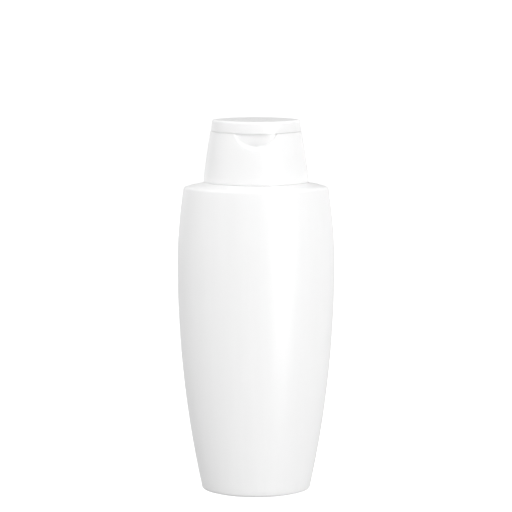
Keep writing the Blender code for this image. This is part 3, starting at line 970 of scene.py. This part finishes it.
@dataclass
class Closure:
    """The snap-fit closure: skirt, thumb recess, upstand, deck, spout, snap collar and sealing gasket."""

    loft: OvalLoft
    finishes: Finishes
    points_around: int = 384
    rim_half_width: float = 21.15 * MM
    rim_half_depth: float = 13.1 * MM
    foot_half_width: float = 24.4 * MM
    foot_half_depth: float = 15.0 * MM
    rim_z: float = 169.435 * MM
    bulge: float = 0.3 * MM
    wall: float = 1.3 * MM
    upstand_inset: float = 1.5 * MM
    upstand_thickness: float = 1.0 * MM
    deck_z: float = 167.0 * MM
    deck_thickness: float = 1.5 * MM
    spout_foot: float = 6.0 * MM
    spout_top: float = 4.7 * MM
    spout_z: float = 170.6 * MM
    orifice: float = 3.2 * MM
    thick_wall_z: float = 160.6 * MM
    thick_wall_half_depth: float = 11.05 * MM
    foot_drop: float = 0.29 * MM
    recess_zone: float = 8.5 * MM
    rim_zone: float = 0.4 * MM
    hinge_drop: float = 5.4 * MM
    pocket_drop: float = 4.6 * MM
    collar_bore: float = 9.8 * MM
    collar_bead: float = 9.25 * MM
    collar_bead_z: float = 157.9 * MM
    notch_half_width: float = 1.6 * MM
    notch_top: float = 152.9 * MM
    notch_edge: float = 0.4 * MM
    gasket_bore: float = 7.5 * MM

    def section(self, z: float, foot_z: float, by: float = 0.0, skin: float = 1.0) -> Station:
        """The outer oval at a height, which bows out a little, drawn in by a distance."""
        share = (z - foot_z) / (self.rim_z - foot_z)
        bow = 4 * self.bulge * share * (1 - share)
        width = self.foot_half_width + (self.rim_half_width - self.foot_half_width) * share + bow
        depth = self.foot_half_depth + (self.rim_half_depth - self.foot_half_depth) * share + bow
        return Station(width - by, depth - by, z, Outline.LENS.value, skin)

    def stations(self, foot_z: float, top_z: float) -> list[Station]:
        """The skin round the orifice: up the outside, over the deck and spout, and down inside.

        Args:
            foot_z: height of the skirt's foot.
            top_z: height of the upstand's top.

        Returns:
            The stations, with the first repeated at the end.
        """
        start = self.section(foot_z, foot_z, 0.6 * MM)
        first = self.section(foot_z + MM, foot_z)
        foot = softened([(start, 0), (self.section(foot_z, foot_z), 0.12 * MM), (first, 0)])
        zone = self.rim_z - self.recess_zone
        heights = [first.z + (zone - first.z) * n / 16 for n in range(1, 17)]
        heights += [zone + (self.recess_zone - self.rim_zone) * n / 42 for n in range(1, 43)]
        rim = self.section(self.rim_z, foot_z)
        under_z = self.deck_z - self.deck_thickness
        under = self.section(under_z, foot_z, self.wall, 0.0)
        step = self.section(self.thick_wall_z, foot_z, self.wall, 0.0)
        inner_edge = self.upstand_inset + self.upstand_thickness
        top = softened(
            [
                (self.section(self.rim_z - self.rim_zone, foot_z), 0),
                (rim, 0.1 * MM),
                (inset(rim, self.upstand_inset, self.rim_z, 0.0), 0.15 * MM),
                (inset(rim, self.upstand_inset, top_z), 0.25 * MM),
                (inset(rim, inner_edge, top_z), 0.25 * MM),
                (inset(rim, inner_edge, self.deck_z), 0.5 * MM),
                (disc(self.spout_foot, self.deck_z), 0.8 * MM),
                (disc(self.spout_top, self.spout_z), 0.35 * MM),
                (disc(self.orifice, self.spout_z), 0.35 * MM),
                (disc(self.orifice, under_z), 0.15 * MM),
                (Station(under.half_width, self.thick_wall_half_depth, under_z), 0.3 * MM),
                (Station(step.half_width, self.thick_wall_half_depth, self.thick_wall_z), 0.4 * MM),
                (self.section(self.thick_wall_z - 1.5 * MM, foot_z, self.wall, 0.0), 0.4 * MM),
                (self.section(foot_z + 6 * MM, foot_z, self.wall, 0.0), 0),
                (self.section(foot_z, foot_z, self.wall, 0.0), 0.15 * MM),
                (start, 0),
            ]
        )
        return [*foot, *[self.section(z, foot_z) for z in heights], *top[1:]]

    def build(self, land: HingeLand) -> None:
        """Builds the closure's three pieces and hands them to the frame.

        Args:
            land: the hinge land that it shares with the lid.
        """
        low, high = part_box("closure_base")
        foot_z = low.z - self.foot_drop
        run = self.stations(foot_z, high.z)
        base = self.loft.make(
            "closure_skirt_and_spout", run, self.finishes.polypropylene, self.points_around
        )
        recess = ThumbRecess(self.rim_z)
        recess.press(base.data, -self.section(self.rim_z - recess.drop, foot_z).half_depth)
        pad = land.pad(self.rim_z - self.hinge_drop, self.rim_z)
        pocket = land.pocket(self.rim_z - self.pocket_drop, self.rim_z + land.overshoot)
        hand_over(base, "closure", "closure_base", [pad], [pocket])
        self.build_collar()
        self.build_gasket()

    def build_collar(self) -> None:
        """The snap collar: a sleeve with an inward bead, notched for the neck's lugs."""
        low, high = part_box("snap_collar")
        outer, bore, bead, bead_z = high.x, self.collar_bore, self.collar_bead, self.collar_bead_z
        run = softened(
            [
                (disc(bore, high.z), 0),
                (disc(outer, high.z), 0.2 * MM),
                (disc(outer, low.z), 0.25 * MM),
                (disc(bore + 0.3 * MM, low.z), 0.15 * MM),
                (disc(bore, low.z + 0.6 * MM), 0.3 * MM),
                (disc(bore, bead_z - 1.0 * MM), 0.2 * MM),
                (disc(bead, bead_z - 0.3 * MM), 0.2 * MM),
                (disc(bead, bead_z + 0.3 * MM), 0.2 * MM),
                (disc(bore, bead_z + 0.7 * MM), 0.2 * MM),
                (disc(bore, high.z), 0),
            ]
        )
        collar = self.loft.make("snap_collar_sleeve", run, self.finishes.polypropylene, 128)
        notch_low = Vector((-2 * outer, -self.notch_half_width, low.z - 2 * MM))
        notch_high = Vector((2 * outer, self.notch_half_width, self.notch_top))
        notch = rounded_block(notch_low, notch_high, self.notch_edge)
        hand_over(collar, "closure", "snap_collar", cut=[notch])

    def build_gasket(self) -> None:
        """The foam washer between the neck and the deck."""
        low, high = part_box("sealing_gasket")
        bore, outer = self.gasket_bore, high.x
        run = softened(
            [
                (disc(bore, high.z), 0),
                (disc(outer, high.z), 0.15 * MM),
                (disc(outer, low.z), 0.15 * MM),
                (disc(bore, low.z), 0.15 * MM),
                (disc(bore, high.z), 0),
            ]
        )
        gasket = self.loft.make("sealing_gasket_washer", run, self.finishes.foam, 128)
        hand_over(gasket, "closure", "sealing_gasket")


# Lid and hinge --------------------------------------------------------------------------------------


@dataclass
class Lid:
    """The flip lid: a shallow oval shell with the seal plug and the ring that stands round the spout."""

    loft: OvalLoft
    finishes: Finishes
    points_around: int = 384
    foot_z: float = 169.515 * MM
    foot_half_width: float = 20.95 * MM
    foot_half_depth: float = 13.0 * MM
    top_half_width: float = 20.4 * MM
    top_half_depth: float = 12.7 * MM
    edge: float = 1.0 * MM
    wall: float = 1.2 * MM
    top_thickness: float = 1.3 * MM
    plug_radius: float = 2.95 * MM
    plug_bore: float = 1.9 * MM
    ring_inner: float = 5.3 * MM
    ring_outer: float = 6.1 * MM
    ring_z: float = 171.2 * MM
    plug_root: float = 0.9 * MM
    pad_height: float = 4.0 * MM
    pocket_height: float = 3.2 * MM

    def stations(self, plug_tip: float, top_z: float) -> list[Station]:
        """The skin, from inside the plug down the plug, across the ceiling, round the rim and over the top.

        Args:
            plug_tip: height of the plug's tip.
            top_z: height of the lid's top.

        Returns:
            The stations, with a pole at each end.
        """
        ceiling = top_z - self.top_thickness
        plug_root = ceiling - self.plug_root
        foot = Station(self.foot_half_width, self.foot_half_depth, self.foot_z)
        shoulder = Station(self.top_half_width, self.top_half_depth, top_z - self.edge)
        inside = softened(
            [
                (disc(0.0, plug_root), 0),
                (disc(self.plug_bore, plug_root), 0.4 * MM),
                (disc(self.plug_bore, plug_tip), 0.15 * MM),
                (disc(self.plug_radius - 0.4 * MM, plug_tip), 0.2 * MM),
                (disc(self.plug_radius, plug_tip + 0.6 * MM), 0.3 * MM),
                (disc(self.plug_radius, ceiling), 0.4 * MM),
                (disc(self.ring_inner, ceiling), 0.3 * MM),
                (disc(self.ring_inner, self.ring_z), 0.15 * MM),
                (disc(self.ring_outer, self.ring_z), 0.15 * MM),
                (disc(self.ring_outer, ceiling), 0.3 * MM),
                (inset(shoulder, self.wall, ceiling), 0.9 * MM),
                (inset(foot, self.wall), 0.15 * MM),
                (foot, 0.1 * MM),
                (shoulder, 0),
            ]
        )
        walls = subdivided(inside[-2], shoulder, 6)
        edge = []
        for angle in arc_angles(0, 90, 12)[1:]:
            drawn_in = self.edge * (1 - math.cos(angle))
            edge.append(inset(shoulder, drawn_in, top_z - self.edge * (1 - math.sin(angle))))
        flat = edge[-1]
        shares = (0.97, 0.9, 0.75, 0.5, 0.25, 0.0)
        top = [Station(flat.half_width * s, flat.half_depth * s, top_z) for s in shares]
        return [*inside[:-1], *walls, *edge, *top]

    def build(self, land: HingeLand) -> None:
        """Builds the lid and hands it to the frame.

        Args:
            land: the hinge land that it shares with the closure.
        """
        low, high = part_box("flip_lid")
        run = self.stations(low.z, high.z)
        lid = self.loft.make("flip_lid_shell", run, self.finishes.polypropylene, self.points_around)
        pad = land.pad(self.foot_z, self.foot_z + self.pad_height)
        pocket = land.pocket(self.foot_z - land.overshoot, self.foot_z + self.pocket_height)
        hand_over(lid, "lid", "flip_lid", [pad], [pocket])


@dataclass
class Hinge:
    """The two film webs that carry the lid, and the strap between them that snaps it open and shut.

    film_place and film_width say where the strap thins to a film and over how much of it, as shares of its
    length. The chamfers are shares of half a band's thickness, along its width and up its sides.
    """

    finishes: Finishes
    land_y: float
    web_fold: float = 0.55 * MM
    web_thickness: float = 0.36 * MM
    strap_thickness: float = 0.5 * MM
    film_thickness: float = 0.28 * MM
    film_place: float = 0.13
    film_width: float = 0.045
    web_reach: float = 0.44 * MM
    strap_reach: float = 2.0 * MM
    chamfer_along: float = 0.6
    chamfer_up: float = 0.3
    embed: float = 0.25 * MM
    strap_embed: float = 0.45 * MM

    def pivot(self) -> Vector:
        """A point on the hinge's axis."""
        joint = next(j for j in frame["joints"] if j["name"] == "lid_hinge")
        return Vector(joint["pos_m"])

    def ribbon(
        self,
        name: str,
        path: Sequence[tuple[float, float]],
        thickness: Callable[[float], float],
        span: tuple[float, float],
    ) -> bpy.types.Object:
        """A band that follows a path in the YZ plane.

        Args:
            name: the piece's name.
            path: (y, z) points along the band's middle.
            thickness: the band's thickness, by the share of the way along it.
            span: its two sides in X.

        Returns:
            The piece.
        """
        shape = bmesh.new()
        rings = []
        middle, half_span = (span[0] + span[1]) / 2, (span[1] - span[0]) / 2
        for place, (y, z) in enumerate(path):
            before, after = path[max(place - 1, 0)], path[min(place + 1, len(path) - 1)]
            way = Vector((after[0] - before[0], after[1] - before[1])).normalized()
            half = thickness(place / (len(path) - 1)) / 2
            flat, side = 1 - half * self.chamfer_along / half_span, self.chamfer_up
            upper = ((-1, side), (-flat, 1), (flat, 1), (1, side))
            ring = []
            for across, off in (*upper, *((-a, -o) for a, o in upper)):
                x = middle + across * half_span
                ring.append(shape.verts.new((x, y + way.y * half * off, z - way.x * half * off)))
            rings.append(ring)
        for first, second in zip(rings, rings[1:]):
            for i in range(len(first)):
                j = (i + 1) % len(first)
                shape.faces.new((first[i], first[j], second[j], second[i]))
        shape.faces.new(reversed(rings[0]))
        shape.faces.new(rings[-1])
        mesh = bpy.data.meshes.new(name)
        shape.to_mesh(mesh)
        shape.free()
        facing_out(mesh)
        piece = add_piece(name, mesh, self.finishes.polypropylene)
        finish_edges(piece, 50)
        return piece

    def bend(self, piece: bpy.types.Object, node: str, reach: float) -> None:
        """Hides the frame's node that a hinge piece stands for and bakes the piece's place into its mesh.

        Args:
            piece: the web or the strap.
            node: the node that it stands for.
            reach: not used.
        """
        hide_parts(node)
        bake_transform(piece)
        LOG.info("%s bends between closure and lid, %d faces", piece.name, len(piece.data.polygons))

    def build(self) -> None:
        """Builds the webs and the strap."""
        pivot = self.pivot()
        for label in ("left", "right"):
            low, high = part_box(f"hinge_web_{label}")
            root = self.land_y - self.embed
            arc = [
                (pivot.y + self.web_fold * math.cos(a), pivot.z + self.web_fold * math.sin(a))
                for a in arc_angles(-90, 90, 24)
            ]
            path = [(root, pivot.z - self.web_fold), *arc, (root, pivot.z + self.web_fold)]
            web = self.ribbon(f"film_web_{label}", path, lambda share: self.web_thickness, (low.x, high.x))
            self.bend(web, f"hinge_web_{label}", self.web_reach)
        low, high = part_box("hinge_spring_strap")
        middle = (low.y + high.y) / 2
        bottom, top = low.z - self.strap_embed, high.z + self.strap_embed
        count = 60
        path = [(middle, bottom + (top - bottom) * n / count) for n in range(count + 1)]

        def strap_thickness(share: float) -> float:
            """Thin near both ends, where the strap flexes, and stiff between."""
            near = min(share, 1 - share)
            dip = math.exp(-(((near - self.film_place) / self.film_width) ** 2))
            return self.strap_thickness - (self.strap_thickness - self.film_thickness) * dip

        strap = self.ribbon("spring_strap", path, strap_thickness, (low.x, high.x))
        self.bend(strap, "hinge_spring_strap", self.strap_reach)


# Studio ---------------------------------------------------------------------------------------------


@dataclass(frozen=True)
class Softbox:
    """A rectangular light that stands at a bearing and height angle, in degrees, and points at the bottle.

    azimuth is 0 in front of the bottle and grows to its right.
    """

    name: str
    azimuth: float
    elevation: float
    distance: float
    size: tuple[float, float]
    power: float

    def place(self, target: Vector) -> bpy.types.Object:
        """Puts the light in the scene.

        Args:
            target: the point that it faces.

        Returns:
            The light's object.
        """
        data = bpy.data.lights.new(self.name, "AREA")
        data.shape = "RECTANGLE"
        data.size, data.size_y = self.size
        data.energy = self.power
        turn, rise = math.radians(self.azimuth), math.radians(self.elevation)
        way = Vector((math.sin(turn) * math.cos(rise), -math.cos(turn) * math.cos(rise), math.sin(rise)))
        light = bpy.data.objects.new(self.name, data)
        light.location = target + way * self.distance
        light.rotation_euler = (-way).to_track_quat("-Z", "Y").to_euler()
        light.visible_camera = False
        bpy.context.scene.collection.objects.link(light)
        return light


@dataclass
class Studio:
    """A white sweep, a pale surround, softboxes round the bottle, and the camera above its middle."""

    camera_place: Vector = field(default_factory=lambda: Vector((0, -1.090, 0.277)))
    camera_pitch: float = 8.643
    lens: float = 166.77
    stage_radius: float = 3.0
    surround: float = 0.52
    target: Vector = field(default_factory=lambda: Vector((0, 0, 0.09)))
    lights: tuple[Softbox, ...] = (
        Softbox("key_softbox", 30, 4, 1.0, (0.22, 0.60), 2.5),
        Softbox("key_strip", 34, 2, 1.0, (0.12, 0.50), 2.0),
        Softbox("right_softbox", 60, 42, 1.1, (0.70, 0.70), 2.3),
        Softbox("right_rim", 125, 15, 1.1, (0.60, 0.80), 1.0),
        Softbox("left_softbox", -60, 45, 1.1, (0.70, 0.70), 4.0),
        Softbox("left_fill", -62, 12, 1.1, (0.60, 0.90), 0.9),
        Softbox("left_rim", -125, 15, 1.1, (0.60, 0.80), 1.3),
        Softbox("back_softbox", 180, -12, 1.1, (0.90, 0.70), 2.5),
        Softbox("top_softbox", 0, 84, 0.9, (0.80, 0.80), 0.65),
    )

    def build(self) -> None:
        """Builds the floor, the backdrop, the lights and the camera."""
        self.build_camera()
        self.build_stage()
        self.build_world()
        for light in self.lights:
            light.place(self.target)

    def build_camera(self) -> None:
        """The camera."""
        data = bpy.data.cameras.new("camera")
        data.sensor_width = 36.0
        data.lens = self.lens
        camera = bpy.data.objects.new("camera", data)
        camera.location = self.camera_place
        camera.rotation_euler = (math.radians(90 - self.camera_pitch), 0, 0)
        bpy.context.scene.collection.objects.link(camera)
        bpy.context.scene.camera = camera

    def stage_material(self, name: str, colour: str, glow: float) -> bpy.types.Material:
        """A matt white that also glows a little, like opal acrylic lit from behind."""
        made = bpy.data.materials.new(name)
        made.use_nodes = True
        shader = made.node_tree.nodes["Principled BSDF"]
        shader.inputs["Base Color"].default_value = linear(colour)
        shader.inputs["Roughness"].default_value = 0.9
        shader.inputs["Emission Color"].default_value = (1.0, 1.0, 1.0, 1.0)
        shader.inputs["Emission Strength"].default_value = glow
        return made

    def build_stage(self) -> None:
        """The floor and the dome round it, which the camera sees but which throw no light on the bottle."""
        floor_mesh = bpy.data.meshes.new("studio_floor")
        shape = bmesh.new()
        bmesh.ops.create_circle(shape, cap_ends=True, segments=96, radius=self.stage_radius)
        shape.to_mesh(floor_mesh)
        shape.free()
        floor = add_piece("studio_floor", floor_mesh, self.stage_material("opal_floor", "#F7F7F7", 0.6))
        dome_mesh = bpy.data.meshes.new("studio_backdrop")
        shape = bmesh.new()
        bmesh.ops.create_uvsphere(shape, u_segments=64, v_segments=32, radius=self.stage_radius)
        bmesh.ops.reverse_faces(shape, faces=shape.faces)
        shape.to_mesh(dome_mesh)
        shape.free()
        dome = add_piece("studio_backdrop", dome_mesh, self.stage_material("white_backdrop", "#F7F7F7", 1.2))
        for surface in (floor, dome):
            surface.visible_diffuse = False
            surface.visible_glossy = False
            surface.visible_transmission = False
            surface.visible_shadow = False

    def build_world(self) -> None:
        """A pale surround."""
        world = bpy.data.worlds.new("studio")
        bpy.context.scene.world = world
        world.use_nodes = True
        background = world.node_tree.nodes["Background"]
        background.inputs["Color"].default_value = (1.0, 1.0, 1.0, 1.0)
        background.inputs["Strength"].default_value = self.surround
        bpy.context.scene.view_settings.view_transform = "Standard"
        bpy.context.scene.view_settings.look = "None"


def main() -> None:
    """Builds the studio and every piece in order."""
    logging.basicConfig(level=logging.INFO, format="%(name)s: %(message)s")
    Studio().build()
    loft = OvalLoft()
    finishes = Finishes()
    land = HingeLand(y=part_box("flip_lid")[1].y)
    Bottle(loft, finishes).build()
    Closure(loft, finishes).build(land)
    Lid(loft, finishes).build(land)
    Hinge(finishes, land.y).build()


if __name__ == "__main__":
    main()
